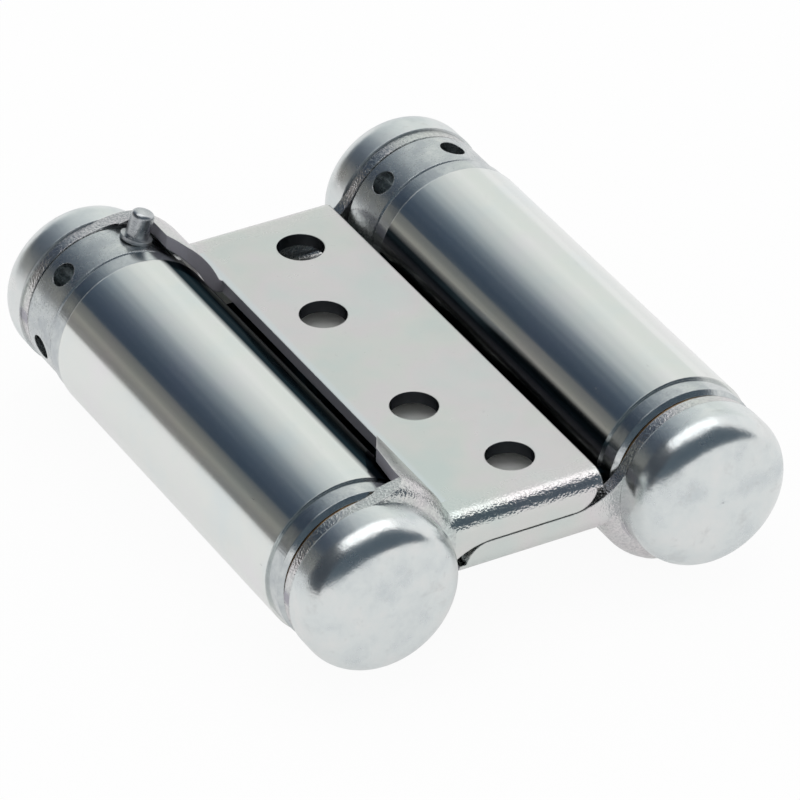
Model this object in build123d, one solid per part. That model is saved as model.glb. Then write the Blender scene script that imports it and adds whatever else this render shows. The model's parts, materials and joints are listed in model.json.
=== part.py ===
"""Double-action spring hinge: two sprung barrels rolled from one sheet, and a leaf pivoted on each.

Millimetres. The barrels run along Y and the hinge lies flat, leaves level. The origin is the middle of
the hinge. The left barrel and its leaf, the door side, are modelled on their own axis, and the frame side
is the same set of pieces turned half round about Y.
"""
from build123d import *
from math import acos, asin, cos, degrees, radians, sin, sqrt
import os

# Leaves: pressed sheet, a flat plate with an end flange and an ear at each end
leaf_sheet = 1.8
leaf_face_height = 4.6
leaf_plate_edge = 10.5
leaf_flange_end = 9.6
leaf_corner_radius = 3.2
leaf_bend_inside = 0.8
leaf_crease_radius = 0.6
leaf_gap = 0.2
ear_inset = 0.6
ear_blend_radius = 10.0
hood_clearance = 0.25
hood_end_angle = 64.0
leaf_tail_edge = 11.1
near_hood_start = 20.9
near_hood_shoulder = 10.8
near_hood_drift = 0.9
near_hood_width = 7.2
near_hood_end = 4.0
far_hood_start = 11.7
far_hood_shoulder = 1.2
far_hood_corner = 2.0
far_hood_width = 6.7

# Screw holes in each leaf: an outer pair and an inner pair
screw_hole_radius = 3.25
outer_hole_offset = 2.0
outer_hole_spacing = 55.2
inner_hole_offset = -3.2
inner_hole_spacing = 24.1

# Barrels: one sheet rolled into a tube along each edge, with a flat web between
axis_spacing = 48.4
barrel_radius = 11.5
barrel_length = 56.5
barrel_sheet = 1.6
web_bend_radius = 2.0
free_edge_angle = 8.5

# Pieces stacked along a barrel, from the near ear to the far one. Each inset is from the barrel's surface
running_gap = 0.1
washer_thickness = 0.5
washer_inset = 1.0
bush_flange = 3.2
bush_flange_inset = 0.35
bush_flange_chamfer = 0.6
bush_depth = 7.0
guide_flange = 2.9
guide_flange_inset = 0.25
guide_depth = 6.0
guide_chamfer = 0.3
collar_length = 7.0
collar_inset = 0.5
collar_chamfer = 0.35
hub_radius = 6.0
hub_reach = 11.0
seat_clearance = 0.02
running_clearance = 0.05

# Adjusting holes round the collar, and the pin that holds the tension in one of them
collar_hole_count = 6
collar_hole_radius = 1.75
collar_hole_depth = 4.6
collar_hole_angle = 72.0
pin_clearance = 0.08
pin_stub_radius = 1.6
pin_height = 4.2
pin_foot_clearance = 0.3
pin_collar_radius = 2.2
pin_collar_height = 0.55
pin_round = 0.7

# Spindle and its end caps
spindle_radius = 4.0
spindle_reach = 5.0
spindle_chamfer = 0.5
cap_overhang = 0.3
cap_height = 7.0
cap_crown = 0.35
cap_edge_radius = 4.2
cap_wall = 1.2
cap_boss_wall = 1.8

# Torsion spring, one end in the bush and the other in the collar's hub
spring_wire = 2.2
spring_leg = 2.0
spring_side_gap = 1.1
spring_turns = 11
spring_bends_per_turn = 16
spring_end_gap = 1.6
spring_leg_depth = 4.0
spring_leg_clearance = 0.1

left_axis = -axis_spacing / 2
barrel_bore = barrel_radius - barrel_sheet
washer_radius = barrel_radius - washer_inset
bush_flange_radius = barrel_radius - bush_flange_inset
guide_flange_radius = barrel_radius - guide_flange_inset
collar_radius = barrel_radius - collar_inset
ear_radius = barrel_radius - ear_inset
cap_radius = ear_radius + cap_overhang
hood_inner = barrel_radius + hood_clearance
hood_outer = hood_inner + leaf_sheet
spring_coil_radius = barrel_bore - spring_side_gap - spring_wire / 2

stack_length = washer_thickness + bush_flange + barrel_length + guide_flange + collar_length
leaf_length = stack_length + 4 * running_gap + 2 * leaf_sheet
half_leaf = leaf_length / 2
ear_inside = half_leaf - leaf_sheet

washer_start = -ear_inside + running_gap
bush_start = washer_start + washer_thickness + running_gap
barrel_start = bush_start + bush_flange
barrel_end = barrel_start + barrel_length
guide_end = barrel_end + guide_flange
collar_start = guide_end + running_gap
collar_end = collar_start + collar_length
collar_middle = (collar_start + collar_end) / 2
hub_end = barrel_end - hub_reach
bush_end = barrel_start + bush_depth
spring_low = bush_end + spring_end_gap
spring_high = hub_end + spring_end_gap + spring_wire / 2
spring_leg_inner = spindle_radius + running_clearance + 2 * spring_leg_clearance
leg_slot = spring_leg + 2 * spring_leg_clearance


def along_y(section, low, high):
    """Extrude a section drawn in X and Z from y = low to y = high."""
    return extrude(Plane.XZ.offset(-high) * section, amount=high - low)


def along_z(outline, low, high):
    """Extrude an outline drawn in X and Y from z = low to z = high."""
    return extrude(Plane.XY.offset(low) * outline, amount=high - low)


def turned(points):
    """Turn a half profile, given as (radius, y) points, about the left barrel's axis."""
    profile = make_face(Polyline(*points, close=True))
    return revolve(profile, Axis.Y)


def on_left(solid):
    """Move a solid made about the Y axis on to the left barrel's axis."""
    return Pos(left_axis, 0, 0) * solid


def frame_side(solid):
    """The matching piece of the frame side: the door side turned half round."""
    return Rot(0, 180, 0) * solid


def polar(radius, angle):
    """Point at an angle from +X towards +Z about the left barrel's axis, in X and Z."""
    return (left_axis + radius * cos(radians(angle)), radius * sin(radians(angle)))


def make_twin_barrel():
    """One sheet: the web, and a tube rolled over the top on the left and under on the right."""
    mean_radius = barrel_radius - barrel_sheet / 2
    reach = mean_radius + web_bend_radius
    bend_x = left_axis + sqrt(reach ** 2 - web_bend_radius ** 2)
    join_angle = degrees(asin(web_bend_radius / reach))
    web = Line((0, 0), (bend_x, 0))
    bend = CenterArc((bend_x, web_bend_radius), web_bend_radius, 270, join_angle - 90)
    roll = CenterArc((left_axis, 0), mean_radius, join_angle, 360 - free_edge_angle - join_angle)
    left_half = along_y(trace([web, bend, roll], barrel_sheet), barrel_start, barrel_end)
    return left_half + frame_side(left_half)


def ear_outline():
    """End view of a leaf: flange, wedge, ear and the top line of the hood over the barrel."""
    floor = leaf_gap / 2
    crease_height = leaf_face_height + leaf_crease_radius
    crease_reach = hood_outer + leaf_crease_radius
    crease_x = left_axis + sqrt(crease_reach ** 2 - crease_height ** 2)
    join_angle = degrees(asin(crease_height / crease_reach))
    blend_angle = hood_end_angle + degrees(acos(ear_radius / hood_outer))
    wedge_centre = floor - ear_blend_radius
    wedge_reach = ear_radius + ear_blend_radius
    wedge_x = left_axis + sqrt(wedge_reach ** 2 - wedge_centre ** 2)
    wedge_angle = degrees(asin(wedge_centre / wedge_reach))
    corner_x = leaf_flange_end - leaf_corner_radius
    corner_height = floor + leaf_corner_radius
    edges = [
        Line((leaf_flange_end, corner_height), (leaf_flange_end, leaf_face_height)),
        Line((leaf_flange_end, leaf_face_height), (crease_x, leaf_face_height)),
        CenterArc((crease_x, crease_height), leaf_crease_radius, 270, join_angle - 90),
        CenterArc((left_axis, 0), hood_outer, join_angle, hood_end_angle - join_angle),
        Line(polar(hood_outer, hood_end_angle), polar(ear_radius, blend_angle)),
        CenterArc((left_axis, 0), ear_radius, blend_angle, 360 + wedge_angle - blend_angle),
        CenterArc((wedge_x, wedge_centre), ear_blend_radius, 180 + wedge_angle, -90 - wedge_angle),
        Line((wedge_x, floor), (corner_x, floor)),
        CenterArc((corner_x, corner_height), leaf_corner_radius, 270, 90),
    ]
    return make_face(Wire(edges))


def leaf_plan():
    """Plan of the leaf's sheet: the plate, and the hoods that reach out over the barrel at each end."""
    tail = -leaf_tail_edge
    near_edge = tail - near_hood_width
    far_edge = tail - far_hood_width
    near_hood = -half_leaf + near_hood_start
    far_hood = half_leaf - far_hood_start
    far_corner = far_hood + far_hood_shoulder
    edge = [
        (leaf_plate_edge, half_leaf),
        (far_edge, half_leaf),
        (far_edge, far_corner + far_hood_corner),
        (far_edge + far_hood_corner, far_corner),
        (tail, far_hood),
        (tail, near_hood),
        (near_edge + near_hood_drift, near_hood - near_hood_shoulder),
        (near_edge, near_hood_end - half_leaf),
        (near_edge, -half_leaf),
        (leaf_plate_edge, -half_leaf),
    ]
    return make_face(Polyline(*edge, close=True))


def rims(solid, radius):
    """The round edges of a solid that have the given radius."""
    circles = solid.edges().filter_by(GeomType.CIRCLE)
    return [edge for edge in circles if abs(edge.radius - radius) < 0.01]


def leaf_envelope(face, reach, half, bend, crease):
    """Full solid under one skin of the leaf: a slab up to the plate's face and a drum round the barrel.

    The crease between them is rounded first, and then the bends at both ends in one run.
    """
    width = 2 * (leaf_plate_edge - left_axis)
    slab = Pos(left_axis + width / 2, 0, face - reach) * Box(width, 2 * half, 2 * reach)
    block = slab + on_left(Cylinder(reach, 2 * half, rotation=(90, 0, 0)))
    valley = [
        edge
        for edge in block.edges().filter_by(GeomType.LINE).filter_by(Axis.Y)
        if abs(edge.center().Z - face) < 0.01 and edge.center().X < 0
    ]
    block = fillet(valley, crease)
    ends = [
        edge
        for edge in block.edges()
        if abs(abs(edge.center().Y) - half) < 0.01 and edge.center().Z > face - 0.01
    ]
    return fillet(ends, bend)


def make_leaf():
    """Door leaf: a pressed sheet with end flanges, ears on the left spindle and four screw holes."""
    underside = leaf_face_height - leaf_sheet
    outer = leaf_envelope(
        leaf_face_height, hood_outer, half_leaf, leaf_bend_inside + leaf_sheet, leaf_crease_radius
    )
    inner = leaf_envelope(
        underside, hood_inner, ear_inside, leaf_bend_inside, leaf_crease_radius + leaf_sheet
    )
    sheet = outer - inner
    bend_start = ear_inside - leaf_bend_inside
    plate = along_z(leaf_plan(), underside, 2 * hood_outer)
    near_end = along_y(ear_outline(), -half_leaf, -bend_start)
    far_end = along_y(ear_outline(), bend_start, half_leaf)
    leaf = sheet & (plate + near_end + far_end)
    bore = Cylinder(spindle_radius + seat_clearance, 2 * leaf_length, rotation=(90, 0, 0))
    leaf -= on_left(bore)
    drill = Cylinder(screw_hole_radius, 4 * leaf_sheet)
    for offset, spacing in (
        (outer_hole_offset, outer_hole_spacing),
        (inner_hole_offset, inner_hole_spacing),
    ):
        for side in (-1, 1):
            leaf -= Pos(offset, side * spacing / 2, underside) * drill
    return leaf


def make_spindle():
    """Round pin through both ears, its ends held in the caps."""
    end = half_leaf + spindle_reach
    chamfer_radius = spindle_radius - spindle_chamfer
    return on_left(turned([
        (0, -end),
        (chamfer_radius, -end),
        (spindle_radius, -end + spindle_chamfer),
        (spindle_radius, end - spindle_chamfer),
        (chamfer_radius, end),
        (0, end),
    ]))


def make_cap(side):
    """Drawn cap on an ear's outer face: a domed shell with a boss that grips the spindle's end."""
    top = cap_height
    shoulder = top - cap_crown
    corner_y = shoulder - cap_edge_radius
    corner_x = cap_radius - cap_edge_radius
    boss_bore = spindle_radius + seat_clearance
    boss = boss_bore + cap_boss_wall
    well = spindle_reach + seat_clearance
    middle = sin(radians(45))
    outer = [
        Line((cap_radius - cap_wall, 0), (cap_radius, 0)),
        Line((cap_radius, 0), (cap_radius, corner_y)),
        ThreePointArc(
            (cap_radius, corner_y),
            (corner_x + cap_edge_radius * middle, corner_y + cap_edge_radius * middle),
            (corner_x, shoulder),
        ),
        Line((corner_x, shoulder), (0, top)),
        Line((0, top), (0, well)),
        Line((0, well), (boss_bore, well)),
        Line((boss_bore, well), (boss_bore, 0)),
        Line((boss_bore, 0), (boss, 0)),
        Line((boss, 0), (boss, shoulder - cap_wall)),
        Line((boss, shoulder - cap_wall), (corner_x, shoulder - cap_wall)),
        Line((corner_x, shoulder - cap_wall), (cap_radius - cap_wall, corner_y)),
        Line((cap_radius - cap_wall, corner_y), (cap_radius - cap_wall, 0)),
    ]
    cap = revolve(make_face(Wire(outer)), Axis.Y)
    if side < 0:
        cap = Rot(180, 0, 0) * cap
    return on_left(Pos(0, side * half_leaf, 0) * cap)


def make_bush():
    """Plug in the barrel's near end, with the spindle's bearing and a hole for the spring's leg."""
    plug_radius = barrel_bore - seat_clearance
    bore = spindle_radius + running_clearance
    bush = turned([
        (bore, bush_start),
        (bush_flange_radius - bush_flange_chamfer, bush_start),
        (bush_flange_radius, bush_start + bush_flange_chamfer),
        (bush_flange_radius, barrel_start),
        (plug_radius, barrel_start),
        (plug_radius, bush_end),
        (bore, bush_end),
    ])
    depth = spring_leg_depth + spring_leg_clearance
    socket = Box(leg_slot, depth, leg_slot)
    bush -= Pos(0, bush_end - depth / 2, spring_coil_radius) * socket
    return on_left(bush)


def make_washer():
    """Thin thrust washer between the near ear and the bush."""
    bore = spindle_radius + 2 * running_clearance
    return on_left(turned([
        (bore, washer_start),
        (washer_radius, washer_start),
        (washer_radius, washer_start + washer_thickness),
        (bore, washer_start + washer_thickness),
    ]))


def make_guide():
    """Flanged bush in the barrel's far end, in which the collar's hub turns."""
    sleeve_radius = barrel_bore - seat_clearance
    bore = hub_radius + running_clearance
    guide = turned([
        (bore, barrel_end - guide_depth),
        (sleeve_radius, barrel_end - guide_depth),
        (sleeve_radius, barrel_end),
        (guide_flange_radius, barrel_end),
        (guide_flange_radius, guide_end),
        (bore, guide_end),
    ])
    return on_left(chamfer(rims(guide, guide_flange_radius), guide_chamfer))


def make_collar():
    """Adjusting collar: a ring with six bar holes, and a hub that reaches in to the spring."""
    bore = spindle_radius + running_clearance
    collar = turned([
        (bore, hub_end),
        (hub_radius, hub_end),
        (hub_radius, collar_start),
        (collar_radius, collar_start),
        (collar_radius, collar_end),
        (bore, collar_end),
    ])
    collar = chamfer(rims(collar, collar_radius), collar_chamfer)
    depth = collar_hole_depth + 1
    drill = Pos(collar_radius - collar_hole_depth + depth / 2, 0, 0) * Cylinder(
        collar_hole_radius, depth, rotation=(0, 90, 0)
    )
    for step in range(collar_hole_count):
        angle = collar_hole_angle + step * 360 / collar_hole_count
        collar -= Pos(0, collar_middle, 0) * Rot(0, -angle, 0) * drill
    slot = Box(leg_slot, leg_slot, hub_radius)
    collar -= Pos(0, spring_high, hub_radius / 2 + spindle_radius) * slot
    return on_left(collar)


def make_spring():
    """Torsion spring of square wire: an axial leg in the bush and a radial leg in the collar's hub."""
    bends = spring_turns * spring_bends_per_turn
    rise = (spring_high - spring_low) / bends
    points = []
    for step in range(bends + 1):
        turn = radians(step * 360 / spring_bends_per_turn)
        points.append((
            spring_coil_radius * sin(turn), spring_low + step * rise, spring_coil_radius * cos(turn)
        ))
    path = Polyline(*points)
    start = Plane(origin=path.position_at(0), x_dir=(0, 1, 0), z_dir=path.tangent_at(0))
    wire = start * Rectangle(spring_wire, spring_wire)
    coil = sweep(wire, path=path, transition=Transition.RIGHT)
    axial_top = spring_low + spring_wire / 4
    axial_length = axial_top - bush_end + spring_leg_depth
    axial = Pos(0, axial_top - axial_length / 2, spring_coil_radius) * Box(
        spring_leg, axial_length, spring_leg
    )
    radial_length = spring_coil_radius - spring_leg_inner
    radial = Pos(0, spring_high, spring_coil_radius - radial_length / 2) * Box(
        spring_leg, spring_leg, radial_length
    )
    return on_left(coil + axial + radial)


def make_pin():
    """Tension pin in one hole of the collar: shank, a collar that seats, and a round-topped stub."""
    foot = collar_radius - collar_hole_depth + pin_foot_clearance
    seat = collar_radius + seat_clearance
    shank = collar_hole_radius - pin_clearance
    top = collar_radius + pin_height
    profile = make_face(Polyline(
        (0, foot),
        (shank, foot),
        (shank, seat),
        (pin_collar_radius, seat),
        (pin_collar_radius, seat + pin_collar_height),
        (pin_stub_radius, seat + pin_collar_height),
        (pin_stub_radius, top),
        (0, top),
        close=True,
    ))
    pin = revolve(profile, Axis.Y)
    crown = [edge for edge in rims(pin, pin_stub_radius) if edge.center().Y > top - 0.01]
    pin = fillet(crown, pin_round)
    upright = Rot(90, 0, 0) * pin
    return on_left(Pos(0, collar_middle, 0) * Rot(0, 90 - collar_hole_angle, 0) * upright)


def main():
    os.makedirs("parts", exist_ok=True)
    export_step(make_twin_barrel(), "parts/twin_barrel.step")
    door_pieces = {
        "leaf": make_leaf(),
        "spindle": make_spindle(),
        "near_cap": make_cap(-1),
        "far_cap": make_cap(1),
        "barrel_bush": make_bush(),
        "thrust_washer": make_washer(),
        "guide_bush": make_guide(),
        "adjusting_collar": make_collar(),
        "tension_pin": make_pin(),
        "torsion_spring": make_spring(),
    }
    for name, solid in door_pieces.items():
        export_step(solid, f"parts/door_{name}.step")
        export_step(frame_side(solid), f"parts/frame_{name}.step")


main()
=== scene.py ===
"""Looks of the double-action spring hinge: bright zinc plate on a white studio floor.

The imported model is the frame. The studio is in metres, and the textures are in millimetres.
"""

import json
import math

import bpy
from mathutils import Matrix, Vector


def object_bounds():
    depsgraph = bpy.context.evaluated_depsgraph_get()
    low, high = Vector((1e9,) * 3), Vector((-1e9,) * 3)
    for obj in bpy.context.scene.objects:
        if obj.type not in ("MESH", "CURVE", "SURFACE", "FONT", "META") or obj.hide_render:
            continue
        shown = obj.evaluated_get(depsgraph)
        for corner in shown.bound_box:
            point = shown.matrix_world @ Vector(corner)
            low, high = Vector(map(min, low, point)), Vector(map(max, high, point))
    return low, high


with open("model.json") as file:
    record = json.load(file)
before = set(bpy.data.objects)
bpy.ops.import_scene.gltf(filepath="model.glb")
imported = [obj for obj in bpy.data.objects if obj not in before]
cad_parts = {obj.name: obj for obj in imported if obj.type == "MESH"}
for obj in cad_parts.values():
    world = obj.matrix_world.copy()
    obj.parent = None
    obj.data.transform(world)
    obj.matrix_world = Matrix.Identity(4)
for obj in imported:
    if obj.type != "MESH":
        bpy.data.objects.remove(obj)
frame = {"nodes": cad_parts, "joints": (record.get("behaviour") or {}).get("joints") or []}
cad_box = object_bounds()
joints = {joint["name"]: joint for joint in frame["joints"]}
millimetre = 0.001

# Camera, fitted to the photograph
view_azimuth = math.radians(-30.473)
view_elevation = math.radians(34.3066)
view_roll = math.radians(1.4845)
view_target = Vector((-0.000745, -0.004244, 0.0))
view_distance = 0.8993
view_lens = 310.08

# Surroundings and lamp, with lengths in metres
floor_size = 6.0
floor_colour = 0.92
floor_glow = 0.94
floor_mirror_glow = 0.6
world_fill = 0.8
softbox_place = Vector((-0.08, 0.11, 0.9))
softbox_width = 1.3
softbox_depth = 0.62
softbox_power = 1.6

# Cards that only reflections see, in metres and degrees
hidden_rays = ("visible_camera", "visible_diffuse", "visible_shadow", "visible_transmission")
card_steps = 48
side_radius = 0.7
side_near = 0.3
side_far = 2.2
side_low_angle = 15.0
side_high_angle = 184.5
side_ramp_angle = 200.0
flank_radius = 0.68
flank_near = -0.3
flank_far = 0.5
flank_low_angle = 121.0
flank_high_angle = 181.0
flank_colour = (0.06, 0.07, 0.085, 1)
screen_radius = 0.9
screen_low = 0.13
screen_high = 2.3
screen_left_angle = -158.0
screen_right_angle = -25.0
screen_colour = (0.095, 0.125, 0.155, 1)

# Tones of the side card, each with its angle up from the horizon on the right
side_tones = [
    (15, (0.86, 0.89, 0.87)),
    (38, (0.88, 0.91, 0.88)),
    (49, (0.93, 0.95, 0.93)),
    (64, (0.80, 0.83, 0.82)),
    (77, (0.66, 0.69, 0.70)),
    (90, (0.50, 0.54, 0.56)),
    (102, (0.25, 0.29, 0.33)),
    (115, (0.12, 0.15, 0.19)),
    (127, (0.065, 0.088, 0.125)),
    (139, (0.045, 0.064, 0.095)),
    (146, (0.05, 0.07, 0.10)),
    (149, (0.17, 0.175, 0.175)),
    (160, (0.22, 0.22, 0.21)),
    (163, (0.33, 0.33, 0.30)),
    (168, (0.30, 0.29, 0.27)),
    (171, (0.23, 0.225, 0.22)),
    (184.5, (0.29, 0.285, 0.28)),
]

# Places on the barrels, in millimetres. Those of the painted shade on the flanks that face a leaf are
# measured from a barrel's axis towards its leaf, tilted towards the leaf's face, and the others from the
# middle of the hinge
barrel_axis = joints["frame_leaf_hinge"]["pos_m"][0] / millimetre
shade_tilt = math.radians(20)
shade_start = 6.95
shade_full = 7.75
shade_depth_start = 8.6
shade_depth_full = 10.3
gap_floor_height = 3.0
gap_half_height = 4.6
web_edge = 7.5
gap_edge = 8.2
tube_side_end = 12.9

# Places on the leaves, in millimetres from the middle of the hinge
leaf_edge_start = 9.2
leaf_edge_full = 9.7
hood_tail_start = 9.9
hood_tail_full = 10.5
plate_half_width = 11.3
plate_half_length = 32.5
bend_start = 31.5
bend_full = 35.5

# Values that most of a noise lies between
noise_low = 0.3
noise_high = 0.7

# Places of the Mix node's colour sockets
mix_first = 6
mix_second = 7
mix_result = 2


def add(tree, kind, **settings):
    """New shader node with its settings."""
    node = tree.nodes.new("ShaderNode" + kind)
    for name, value in settings.items():
        setattr(node, name, value)
    return node


def feed(tree, socket, value):
    """Link a socket to another, or set it to a constant."""
    if isinstance(value, bpy.types.NodeSocket):
        tree.links.new(value, socket)
    else:
        socket.default_value = value


def maths(tree, operation, first, second=0.0, third=0.0):
    """One scalar operation."""
    node = add(tree, "Math", operation=operation)
    for socket, value in zip(node.inputs, (first, second, third)):
        feed(tree, socket, value)
    return node.outputs[0]


def times(tree, first, second):
    """Product of two values."""
    return maths(tree, "MULTIPLY", first, second)


def plus(tree, base, extra, amount=1.0):
    """A base value plus so much of an extra one."""
    return maths(tree, "MULTIPLY_ADD", extra, amount, base)


def unsigned(tree, value):
    """A value without its sign."""
    return maths(tree, "ABSOLUTE", value)


def below(tree, value, limit):
    """1 where a value is less than its limit, and 0 elsewhere."""
    return maths(tree, "LESS_THAN", value, limit)


def above(tree, value, limit):
    """1 where a value is more than its limit, and 0 elsewhere."""
    return maths(tree, "GREATER_THAN", value, limit)


def rest_of(tree, share):
    """What a share leaves of 1."""
    return maths(tree, "SUBTRACT", 1.0, share)


def split(tree, vector):
    """The X, Y and Z of a vector."""
    node = add(tree, "SeparateXYZ")
    feed(tree, node.inputs[0], vector)
    return node.outputs


def stretched(tree, place, scale):
    """A place scaled by a different amount on each axis."""
    node = add(tree, "VectorMath", operation="MULTIPLY")
    feed(tree, node.inputs[0], place)
    feed(tree, node.inputs[1], scale)
    return node.outputs[0]


def noise(tree, place, scale, detail, roughness=0.55):
    """Cloudy noise; its scale is per millimetre."""
    node = add(tree, "TexNoise")
    feed(tree, node.inputs["Vector"], place)
    node.inputs["Scale"].default_value = scale
    node.inputs["Detail"].default_value = detail
    node.inputs["Roughness"].default_value = roughness
    return node.outputs["Fac"]


def ramp(tree, value, *stops):
    """Colour ramp through stops of a position and a colour."""
    node = add(tree, "ValToRGB")
    feed(tree, node.inputs[0], value)
    elements = node.color_ramp.elements
    while len(elements) < len(stops):
        elements.new(position=0.5)
    for element, (position, colour) in zip(elements, stops):
        element.position = position
        element.color = (*colour, 1)
    return node.outputs[0]


def span(tree, value, low, high, to_low=0.0, to_high=1.0):
    """Map a range of values to another, clamped."""
    node = add(tree, "MapRange")
    for socket, number in zip(node.inputs, (value, low, high, to_low, to_high)):
        feed(tree, socket, number)
    return node.outputs[0]


def mixed(tree, share, first, second):
    """Mix of two colours."""
    node = add(tree, "Mix", data_type="RGBA")
    feed(tree, node.inputs[0], share)
    feed(tree, node.inputs[mix_first], first)
    feed(tree, node.inputs[mix_second], second)
    return node.outputs[mix_result]


def grey(value):
    """Opaque grey of a brightness."""
    return (value, value, value, 1.0)


def new_material(name):
    """Empty metal material: its tree, shader, and the place on the part in millimetres."""
    material = bpy.data.materials.new(name)
    material.use_nodes = True
    tree = material.node_tree
    tree.nodes.clear()
    shader = add(tree, "BsdfPrincipled")
    shader.inputs["Metallic"].default_value = 1.0
    output = add(tree, "OutputMaterial")
    feed(tree, output.inputs[0], shader.outputs[0])
    metres = add(tree, "TexCoord").outputs["Object"]
    place = stretched(tree, metres, [1 / millimetre] * 3)
    return material, tree, shader, place


def surface(tree, shader, height, depth, edge_radius):
    """Bump of a real depth over rounded edges, both in millimetres."""
    edge = add(tree, "Bevel", samples=4)
    edge.inputs["Radius"].default_value = edge_radius * millimetre
    bump = add(tree, "Bump")
    bump.inputs["Strength"].default_value = 1.0
    bump.inputs["Distance"].default_value = depth * millimetre
    feed(tree, bump.inputs["Height"], height)
    feed(tree, bump.inputs["Normal"], edge.outputs[0])
    feed(tree, shader.inputs["Normal"], bump.outputs[0])


def leaf_shade(tree, spot):
    """Share of painted shade on the barrels' flanks that face a leaf and in the gap beside it, and how
    deep a place lies there.

    Both go from 0 to 1. The frame's barrel is the door's turned half round, so its side is too.
    """
    # Share of painted shade low in the gap beside the web
    low_gap_shade_share = 0.4
    side = times(tree, maths(tree, "SIGN", spot["X"]), -1.0)
    inward = plus(tree, barrel_axis, spot["X"], side)
    upward = times(tree, side, spot["Z"])
    facing = plus(tree, times(tree, inward, math.cos(shade_tilt)), upward, math.sin(shade_tilt))
    flank = span(tree, facing, shade_start, shade_full)
    deep = span(tree, facing, shade_depth_start, shade_depth_full)
    across = unsigned(tree, spot["X"])
    height = unsigned(tree, spot["Z"])
    share = span(tree, height, gap_floor_height, gap_half_height, to_low=low_gap_shade_share)
    share = maths(tree, "MAXIMUM", share, below(tree, across, tube_side_end))
    share = times(tree, share, above(tree, across, gap_edge))
    return times(tree, flank, share), deep


def barrel_zinc():
    """Polished rolled tube: long faint draw lines, a few scuffs, a slight wave in its reflections, and
    painted shade on the flanks that face a leaf.
    """
    scuff_colour = grey(0.42)
    scuff_share = 0.35
    scuff_roughness = 0.18
    # Painted shade beside a leaf: its colours, and how much it dims reflections
    painted_shade_colours = (0.022, 0.040, 0.047, 1), (0.03, 0.042, 0.052, 1)
    shade_reflection_tints = grey(0.42), grey(0.1)
    web_roughness = 0.4
    line_height = 0.03
    material, tree, shader, place = new_material("barrel_zinc")
    spot = split(tree, place)
    drawn = stretched(tree, place, (1, 0.03, 1))
    rubbed = stretched(tree, place, (1, 0.35, 1))
    lines = noise(tree, drawn, scale=2.2, detail=3)
    clouds = noise(tree, place, scale=0.09, detail=3)
    scuffs = span(tree, noise(tree, rubbed, scale=1.1, detail=5, roughness=0.7), low=0.66, high=0.76)
    tint = ramp(
        tree, clouds,
        (0.3, (0.70, 0.745, 0.745)), (0.5, (0.745, 0.765, 0.745)), (0.7, (0.76, 0.755, 0.76)),
    )
    tint = mixed(tree, times(tree, scuffs, scuff_share), tint, scuff_colour)
    # Painted shade: a darker colour and dimmed reflections on the flanks that face a leaf and in the gap
    # beside it
    shade_colour = mixed(tree, clouds, *painted_shade_colours)
    dark, deep = leaf_shade(tree, spot)
    feed(tree, shader.inputs["Base Color"], mixed(tree, dark, tint, shade_colour))
    dimmed_reflection = mixed(tree, dark, grey(1.0), mixed(tree, deep, *shade_reflection_tints))
    feed(tree, shader.inputs["Specular Tint"], dimmed_reflection)
    web = below(tree, unsigned(tree, spot["X"]), web_edge)
    feed(tree, shader.inputs["Metallic"], rest_of(tree, web))
    rough = span(tree, lines, noise_low, noise_high, to_low=0.12, to_high=0.18)
    rough = plus(tree, rough, scuffs, scuff_roughness)
    feed(tree, shader.inputs["Roughness"], plus(tree, rough, web, web_roughness))
    wave = plus(tree, noise(tree, drawn, scale=0.35, detail=2), lines, line_height)
    surface(tree, shader, wave, depth=0.05, edge_radius=0.15)
    return material


def leaf_masks(tree, place):
    """Shares, from 0 to 1, of what a place on the leaf is: sheared, outer, pressed, the hood's tail with
    a painted highlight, bend.
    """
    # Share of the painted highlight along the hood's tail
    hood_highlight_share = 0.6
    normal = split(tree, add(tree, "TexCoord").outputs["Normal"])
    spot = split(tree, place)
    across = unsigned(tree, spot["X"])
    along = unsigned(tree, spot["Y"])
    on_plate = below(tree, along, plate_half_length)
    steep = span(tree, unsigned(tree, normal["Z"]), low=0.05, high=0.12, to_low=1, to_high=0)
    sideways = span(tree, unsigned(tree, normal["Y"]), low=0.985, high=0.995, to_low=1, to_high=0)
    sheared = times(tree, steep, maths(tree, "MAXIMUM", sideways, on_plate))
    outer = span(tree, across, leaf_edge_start, leaf_edge_full)
    pressed = above(tree, across, plate_half_width)
    # Negative towards the leaf's own barrel
    offset = times(tree, maths(tree, "SIGN", spot["Z"]), spot["X"])
    # Painted highlight: a paler band along the hood's tail, on the plate only
    hood_highlight = span(tree, offset, -hood_tail_full, -hood_tail_start, to_low=hood_highlight_share, to_high=0.0)
    hood_highlight = times(tree, hood_highlight, below(tree, across, plate_half_width))
    hood_highlight = times(tree, hood_highlight, on_plate)
    bend = span(tree, along, bend_start, bend_full)
    return sheared, outer, pressed, hood_highlight, bend


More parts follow.
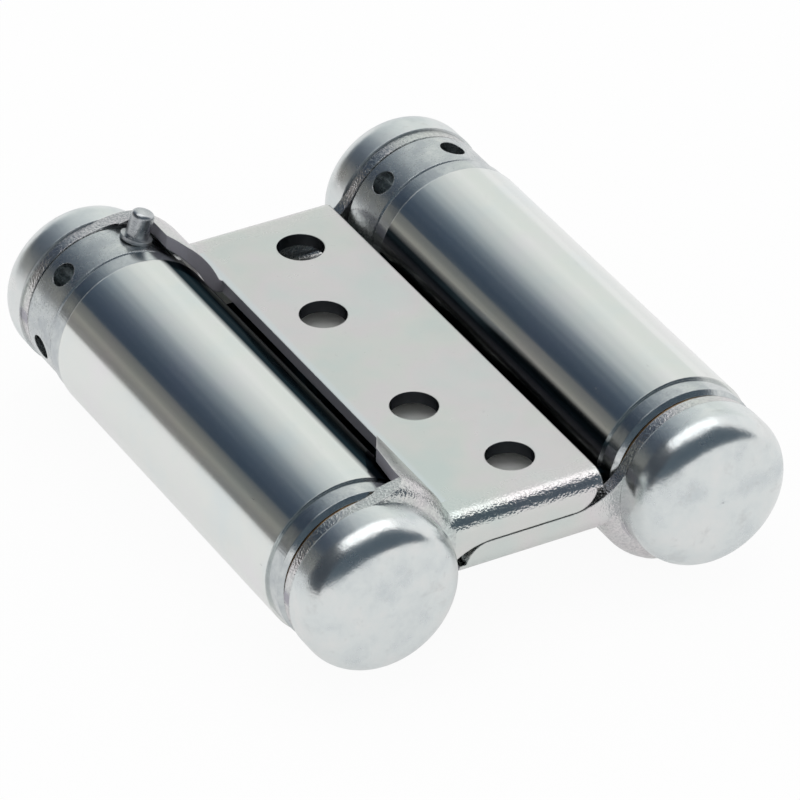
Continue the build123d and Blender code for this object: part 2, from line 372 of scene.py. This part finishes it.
def leaf_zinc():
    """Pressed sheet: satin plate with faint clouds, dull sheared edges, painted shade in the holes, a
    painted highlight along the hood's tail, grain at the bends.
    """
    speck_colour = grey(0.45)
    speck_share = 0.25
    grit_colour = (0.30, 0.31, 0.33, 1)
    grit_share = 0.4
    # Colour of the painted highlight along the hood's tail
    hood_highlight_colour = (0.66, 0.72, 0.745, 1)
    # Painted shade in the holes, then the outer sheared edges' own colour
    hole_shade_and_edge_colours = (0.03, 0.035, 0.045, 1), (0.36, 0.35, 0.40, 1)
    sheared_share = 0.92
    sheared_roughness = 0.2
    edge_dullness = 0.65
    # Painted shade in the holes also dims their reflections
    hole_reflection_tint = grey(0.15)
    bend_polish = 0.14
    bend_grain = 1.4
    fine_height = 0.12
    material, tree, shader, place = new_material("leaf_zinc")
    sheared, outer, pressed, hood_highlight, bend = leaf_masks(tree, place)
    clouds = noise(tree, place, scale=0.07, detail=3)
    tint = ramp(
        tree, clouds,
        (0.32, (0.60, 0.655, 0.635)), (0.45, (0.655, 0.665, 0.645)),
        (0.55, (0.68, 0.655, 0.66)), (0.68, (0.635, 0.665, 0.655)),
    )
    specks = span(tree, noise(tree, place, scale=0.9, detail=5, roughness=0.7), low=0.64, high=0.72)
    tint = mixed(tree, times(tree, specks, speck_share), tint, speck_colour)
    grit = span(tree, noise(tree, place, scale=2.6, detail=4, roughness=0.7), low=0.42, high=0.62)
    grit = times(tree, grit, pressed)
    tint = mixed(tree, times(tree, grit, grit_share), tint, grit_colour)
    # Painted highlight along the hood's tail
    tint = mixed(tree, hood_highlight, tint, hood_highlight_colour)
    # Painted shade on the holes' sheared walls, with dimmed reflections there; the outer sheared edges
    # keep their own colour
    hole_shade_or_edge = mixed(tree, outer, *hole_shade_and_edge_colours)
    feed(tree, shader.inputs["Base Color"], mixed(tree, times(tree, sheared, sheared_share), tint, hole_shade_or_edge))
    edge = times(tree, sheared, outer)
    feed(tree, shader.inputs["Metallic"], rest_of(tree, times(tree, edge, edge_dullness)))
    shaded_hole = maths(tree, "SUBTRACT", sheared, edge)
    feed(tree, shader.inputs["Specular Tint"], mixed(tree, shaded_hole, grey(1.0), hole_reflection_tint))
    smears = noise(tree, place, scale=0.25, detail=4)
    rough = span(tree, smears, noise_low, noise_high, to_low=0.27, to_high=0.36)
    rough = plus(tree, rough, sheared, sheared_roughness)
    feed(tree, shader.inputs["Roughness"], plus(tree, rough, bend, -bend_polish))
    grain = times(tree, noise(tree, place, scale=3.0, detail=1), bend_grain)
    height = times(tree, grain, bend)
    height = plus(tree, height, noise(tree, place, scale=6.0, detail=2), fine_height)
    surface(tree, shader, height, depth=0.06, edge_radius=0.25)
    return material


def cap_zinc(name, roughness):
    """Drawn cap: satin, with smudges and soft dark patches."""
    smudge_colour = grey(0.46)
    smudge_share = 0.3
    cloud_roughness = 0.1
    fine_height = 0.14
    material, tree, shader, place = new_material(name)
    clouds = noise(tree, place, scale=0.16, detail=5, roughness=0.6)
    tint = ramp(
        tree, clouds,
        (0.3, (0.60, 0.64, 0.655)), (0.5, (0.70, 0.735, 0.735)), (0.65, (0.735, 0.75, 0.745)),
    )
    smudges = span(tree, noise(tree, place, scale=0.45, detail=5, roughness=0.65), low=0.56, high=0.72)
    tint = mixed(tree, times(tree, smudges, smudge_share), tint, smudge_colour)
    feed(tree, shader.inputs["Base Color"], tint)
    rough = span(tree, clouds, noise_low, noise_high, roughness + cloud_roughness, roughness)
    feed(tree, shader.inputs["Roughness"], rough)
    dents = noise(tree, place, scale=0.5, detail=3)
    height = plus(tree, dents, noise(tree, place, scale=4.0, detail=2), fine_height)
    surface(tree, shader, height, depth=0.04, edge_radius=0.3)
    return material


def ring_zinc(name, dullness, roughness, mark_height, grit_height):
    """Turned ring: fine marks along the barrel's axis and a grainy skin."""
    grit_colour = grey(0.2)
    cloud_roughness = 0.06
    material, tree, shader, place = new_material(name)
    clouds = noise(tree, place, scale=0.35, detail=5, roughness=0.65)
    tint = ramp(
        tree, clouds,
        (0.35, (0.46, 0.49, 0.51)), (0.55, (0.56, 0.59, 0.595)), (0.7, (0.64, 0.66, 0.655)),
    )
    grit = span(tree, noise(tree, place, scale=3.0, detail=4, roughness=0.7), low=0.56, high=0.72)
    tint = mixed(tree, times(tree, grit, dullness), tint, grit_colour)
    feed(tree, shader.inputs["Base Color"], tint)
    rough = span(tree, clouds, noise_low, noise_high, roughness + cloud_roughness, roughness)
    feed(tree, shader.inputs["Roughness"], rough)
    marks = noise(tree, stretched(tree, place, (1, 0.1, 1)), scale=3.2, detail=3)
    height = plus(tree, times(tree, marks, mark_height), grit, grit_height)
    surface(tree, shader, height, depth=0.05, edge_radius=0.15)
    return material


def plain_metal(name, dark, pale, roughness):
    """Bare metal of a small piece, with a little mottling."""
    cloud_roughness = 0.12
    material, tree, shader, place = new_material(name)
    clouds = noise(tree, place, scale=0.6, detail=4)
    feed(tree, shader.inputs["Base Color"], ramp(tree, clouds, (noise_low, dark), (noise_high, pale)))
    rough = span(tree, clouds, noise_low, noise_high, roughness, roughness + cloud_roughness)
    feed(tree, shader.inputs["Roughness"], rough)
    surface(tree, shader, noise(tree, place, scale=3.0, detail=3), depth=0.02, edge_radius=0.12)
    return material


def dress():
    """Give every node of the frame its material."""
    bush = ring_zinc("bush_zinc", dullness=0.2, roughness=0.16, mark_height=0.25, grit_height=0.02)
    collar = ring_zinc("collar_zinc", dullness=0.6, roughness=0.24, mark_height=0.1, grit_height=0.2)
    washer = plain_metal("washer_brass", (0.20, 0.11, 0.05), (0.36, 0.22, 0.10), roughness=0.4)
    spindle = plain_metal("spindle_steel", (0.40, 0.41, 0.43), (0.52, 0.53, 0.54), roughness=0.3)
    pin = plain_metal("pin_steel", (0.42, 0.44, 0.46), (0.62, 0.64, 0.65), roughness=0.25)
    spring = plain_metal("spring_steel", (0.20, 0.21, 0.23), (0.32, 0.33, 0.35), roughness=0.35)
    finishes = {
        "twin_barrel": barrel_zinc(),
        "leaf": leaf_zinc(),
        "near_cap": cap_zinc("near_cap_zinc", roughness=0.2),
        "far_cap": cap_zinc("far_cap_zinc", roughness=0.26),
        "barrel_bush": bush,
        "guide_bush": bush,
        "adjusting_collar": collar,
        "thrust_washer": washer,
        "spindle": spindle,
        "tension_pin": pin,
        "torsion_spring": spring,
    }
    # A node's kind is its name without its side, door or frame
    for name, node in frame["nodes"].items():
        kind = name if name in finishes else name.split("_", 1)[1]
        for slot in node.material_slots:
            slot.material = finishes[kind]


def seen(tree, share, mirror_share):
    """Strength of plain white as the camera sees it, and as reflections see it."""
    path = add(tree, "LightPath")
    straight = times(tree, path.outputs["Is Camera Ray"], share)
    mirrored = maths(tree, "MAXIMUM", path.outputs["Is Glossy Ray"], path.outputs["Is Transmission Ray"])
    return plus(tree, straight, mirrored, mirror_share)


def make_world():
    """White surroundings that light the object a little less than they look."""
    unlit = 1.0 - world_fill
    world = bpy.data.worlds.new("studio")
    world.use_nodes = True
    tree = world.node_tree
    background = tree.nodes["Background"]
    background.inputs["Color"].default_value = grey(1.0)
    feed(tree, background.inputs["Strength"], plus(tree, world_fill, seen(tree, unlit, unlit)))
    bpy.context.scene.world = world


def make_floor():
    """White floor under the lowest point, which keeps the object's shadow and is clear from below."""
    low = cad_box[0].z
    bpy.ops.mesh.primitive_plane_add(size=floor_size, location=(0, 0, low))
    floor = bpy.context.active_object
    floor.name = "floor"
    material = bpy.data.materials.new("floor")
    material.use_nodes = True
    tree = material.node_tree
    tree.nodes.clear()
    white = add(tree, "BsdfDiffuse")
    white.inputs["Color"].default_value = grey(floor_colour)
    from_above = add(tree, "MixShader")
    feed(tree, from_above.inputs[0], seen(tree, floor_glow, floor_mirror_glow))
    feed(tree, from_above.inputs[1], white.outputs[0])
    feed(tree, from_above.inputs[2], add(tree, "Emission").outputs[0])
    both_sides = add(tree, "MixShader")
    feed(tree, both_sides.inputs[0], add(tree, "NewGeometry").outputs["Backfacing"])
    feed(tree, both_sides.inputs[1], from_above.outputs[0])
    feed(tree, both_sides.inputs[2], add(tree, "BsdfTransparent").outputs[0])
    output = add(tree, "OutputMaterial")
    feed(tree, output.inputs[0], both_sides.outputs[0])
    floor.data.materials.append(material)


def card(name, corners, faces):
    """A studio card that only reflections see: its node tree and its glow."""
    mesh = bpy.data.meshes.new(name)
    mesh.from_pydata(corners, [], faces)
    obj = bpy.data.objects.new(name, mesh)
    bpy.context.scene.collection.objects.link(obj)
    for ray in hidden_rays:
        setattr(obj, ray, False)
    material = bpy.data.materials.new(name)
    material.use_nodes = True
    tree = material.node_tree
    tree.nodes.clear()
    glow = add(tree, "Emission")
    output = add(tree, "OutputMaterial")
    feed(tree, output.inputs[0], glow.outputs[0])
    mesh.materials.append(material)
    return tree, glow


def curved_card(name, radius, angles, edges, place):
    """A card bent through a range of angles; place turns a point of the bend and an edge into x, y, z."""
    start, end = angles
    corners = []
    faces = []
    for step in range(card_steps + 1):
        angle = math.radians(start + step / card_steps * (end - start))
        for edge in edges:
            corners.append(place(radius * math.cos(angle), radius * math.sin(angle), edge))
        if step:
            last = 2 * step
            faces.append((last - 2, last - 1, last + 1, last))
    return card(name, corners, faces)


def along_barrels(across, up, along):
    """A point of a card that arches over the object, along its barrels."""
    return across, along, up


def upright(across, along, up):
    """A point of a card that stands round the object."""
    return across, along, up


def make_side_card():
    """Arched card along the barrels: pale on the right, dark past the top, brown low on the left."""
    angles = side_low_angle, side_high_angle
    tree, glow = curved_card("side_card", side_radius, angles, (side_near, side_far), along_barrels)
    place = split(tree, add(tree, "NewGeometry").outputs["Position"])
    angle = maths(tree, "ARCTAN2", place["Z"], place["X"])
    angle = plus(tree, angle, below(tree, angle, -math.pi / 2), 2 * math.pi)
    share = maths(tree, "DIVIDE", angle, math.radians(side_ramp_angle))
    stops = [(position / side_ramp_angle, tone) for position, tone in side_tones]
    feed(tree, glow.inputs[0], ramp(tree, share, *stops))


def make_flank_card():
    """Dark card low on the left, which the caps' left shoulders see."""
    angles = flank_low_angle, flank_high_angle
    tree, glow = curved_card("flank_card", flank_radius, angles, (flank_near, flank_far), along_barrels)
    feed(tree, glow.inputs[0], flank_colour)


def make_front_screen():
    """Dark curved screen on the camera's side of the object."""
    angles = screen_left_angle, screen_right_angle
    tree, glow = curved_card("front_screen", screen_radius, angles, (screen_low, screen_high), upright)
    feed(tree, glow.inputs[0], screen_colour)


def make_softbox():
    """One large soft lamp overhead."""
    data = bpy.data.lights.new("softbox", "AREA")
    data.shape = "RECTANGLE"
    data.size = softbox_width
    data.size_y = softbox_depth
    data.energy = softbox_power
    lamp = bpy.data.objects.new("softbox", data)
    bpy.context.scene.collection.objects.link(lamp)
    lamp.location = softbox_place


def make_camera():
    """The photograph's view."""
    back = Vector((
        math.sin(view_azimuth) * math.cos(view_elevation),
        -math.cos(view_azimuth) * math.cos(view_elevation),
        math.sin(view_elevation),
    ))
    level = Vector((math.cos(view_azimuth), math.sin(view_azimuth), 0))
    raised = back.cross(level)
    right = math.cos(view_roll) * level + math.sin(view_roll) * raised
    up = math.cos(view_roll) * raised - math.sin(view_roll) * level
    data = bpy.data.cameras.new("camera")
    data.lens = view_lens
    camera = bpy.data.objects.new("camera", data)
    bpy.context.scene.collection.objects.link(camera)
    turn = Matrix((right, up, back)).transposed().to_4x4()
    camera.matrix_world = Matrix.Translation(view_target + view_distance * back) @ turn
    bpy.context.scene.camera = camera


dress()
make_world()
make_floor()
make_side_card()
make_flank_card()
make_front_screen()
make_softbox()
make_camera()
bpy.context.scene.view_settings.view_transform = "Standard"
